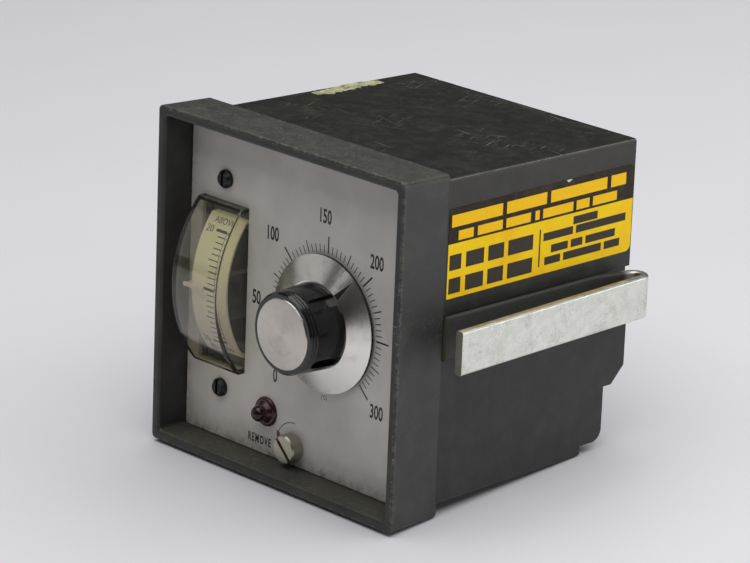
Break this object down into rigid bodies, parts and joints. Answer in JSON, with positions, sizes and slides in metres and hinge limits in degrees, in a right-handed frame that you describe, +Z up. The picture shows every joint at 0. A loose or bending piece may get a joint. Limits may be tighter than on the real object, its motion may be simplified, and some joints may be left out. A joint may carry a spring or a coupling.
{
  "type": "panel temperature controller",
  "caption": "Square panel-mount analogue temperature controller: recessed face with setpoint knob on a dial, curved deviation meter, pilot lamp and pull-out chassis, held by side clips.",
  "frame": {"origin": "centre of the front bezel's square back face, which seats on the panel", "axes": "+Z up, +Y into the panel (from the face to the terminals), +X to the right seen from the front"},
  "size_m": [0.1138, 0.0955, 0.096],
  "materials": {
    "case_moulding": "fine satin moulding, scuffed",
    "bezel_moulding": "fine satin moulding, dusty",
    "terminal_moulding": "satin moulding",
    "terminal_brass": "plain",
    "terminal_steel": "plated",
    "socket_moulding": "satin moulding",
    "contact_brass": "gold flash",
    "insert_brass": "turned",
    "label_paper": "printed, aged",
    "clip_zinc": "zinc plated",
    "plate_grey": "satin grey",
    "frame_zinc": "zinc plated sheet",
    "board_laminate": "solder masked",
    "post_brass": "plated",
    "screw_steel": "plated",
    "core_iron": "varnished laminations",
    "coil_tape": "taped winding",
    "relay_moulding": "satin moulding",
    "relay_clear": "clear",
    "capacitor_sleeve": "shrunk sleeve",
    "resistor_body": "varnished, banded",
    "trimmer_body": "moulded",
    "chip_body": "moulded",
    "transistor_can": "drawn can",
    "pot_can": "plated can",
    "bush_brass": "nickel plated",
    "washer_steel": "plated",
    "nut_steel": "plated",
    "tab_brass": "tinned",
    "lens_red": "translucent red",
    "lamp_moulding": "satin moulding",
    "bulb_glass": "clear",
    "cover_clear": "clear, yellowed",
    "scale_yellow": "satin, printed",
    "meter_moulding": "satin moulding",
    "screw_black": "black finish",
    "magnet_iron": "ground",
    "meter_core_iron": "turned",
    "strap_brass": "plain",
    "bearing_brass": "turned",
    "knob_black": "gloss moulding",
    "knob_aluminium": "turned",
    "skirt_aluminium": "spun",
    "set_screw_steel": "black oxide",
    "shaft_steel": "ground",
    "pointer_paint": "pale paint",
    "coil_copper": "enamelled wire",
    "pivot_steel": "polished",
    "jack_nickel": "nickel plated",
    "ring_steel": "spring steel"
  },
  "bodies": {
    "housing": {"case": "case_moulding", "front_bezel": "bezel_moulding", "terminal_block": "terminal_moulding", "terminal_plates": "terminal_brass", "terminal_screws": "terminal_steel", "connector_socket": "socket_moulding", "connector_contacts": "contact_brass", "jack_nut": "insert_brass", "side_label": "label_paper"},
    "right_clip": {"clip_right": "clip_zinc"},
    "left_clip": {"clip_left": "clip_zinc"},
    "chassis": {"faceplate": "plate_grey", "chassis_frame": "frame_zinc", "control_board": "board_laminate", "power_board": "board_laminate", "board_posts": "post_brass", "board_screws": "screw_steel", "transformer_core": "core_iron", "transformer_coil": "coil_tape", "relay_base": "relay_moulding", "relay_cover": "relay_clear", "filter_capacitors": "capacitor_sleeve", "board_resistors": "resistor_body", "board_trimmers": "trimmer_body", "board_chips": "chip_body", "board_transistors": "transistor_can", "pot_body": "pot_can", "pot_bush": "bush_brass", "pot_washer": "washer_steel", "pot_nut": "nut_steel", "pot_terminals": "tab_brass", "lamp_lens": "lens_red", "lamp_holder": "lamp_moulding", "lamp_bulb": "bulb_glass", "meter_cover": "cover_clear", "meter_scale": "scale_yellow", "meter_frame": "meter_moulding", "meter_screws": "screw_black", "meter_magnet": "magnet_iron", "meter_core": "meter_core_iron", "meter_strap": "strap_brass", "meter_bearings": "bearing_brass"},
    "setpoint_knob": {"knob_shell": "knob_black", "knob_cap": "knob_aluminium", "knob_skirt": "skirt_aluminium", "knob_set_screw": "set_screw_steel", "pot_shaft": "shaft_steel"},
    "meter_pointer": {"pointer_arm": "pointer_paint", "pointer_coil": "coil_copper", "pointer_pivots": "pivot_steel"},
    "jack": {"jack_screw": "jack_nickel", "jack_ring": "ring_steel"}
  },
  "joints": [
    {"name": "chassis_slide", "type": "slide", "parent": "housing", "child": "chassis", "axis": [0, -1, 0], "range_m": [0, 0.085]},
    {"name": "right_clip_slide", "type": "slide", "parent": "housing", "child": "right_clip", "axis": [0, 1, 0], "range_m": [0, 0.075]},
    {"name": "left_clip_slide", "type": "slide", "parent": "housing", "child": "left_clip", "axis": [0, 1, 0], "range_m": [0, 0.075]},
    {"name": "knob_turn", "type": "hinge", "parent": "chassis", "child": "setpoint_knob", "pos_m": [0.0102, -0.012, -0.0013], "axis": [0, 1, 0], "range_deg": [-173, 97]},
    {"name": "pointer_swing", "type": "hinge", "parent": "chassis", "child": "meter_pointer", "pos_m": [-0.0285, 0.0176, -0.0007], "axis": [1, 0, 0], "range_deg": [-34, 34], "stiffness_Nm_per_rad": 0.0003},
    {"name": "jack_turn", "type": "hinge", "parent": "chassis", "child": "jack", "pos_m": [-0.0008, -0.009, -0.0396], "axis": [0, 1, 0], "continuous": true}
  ]
}
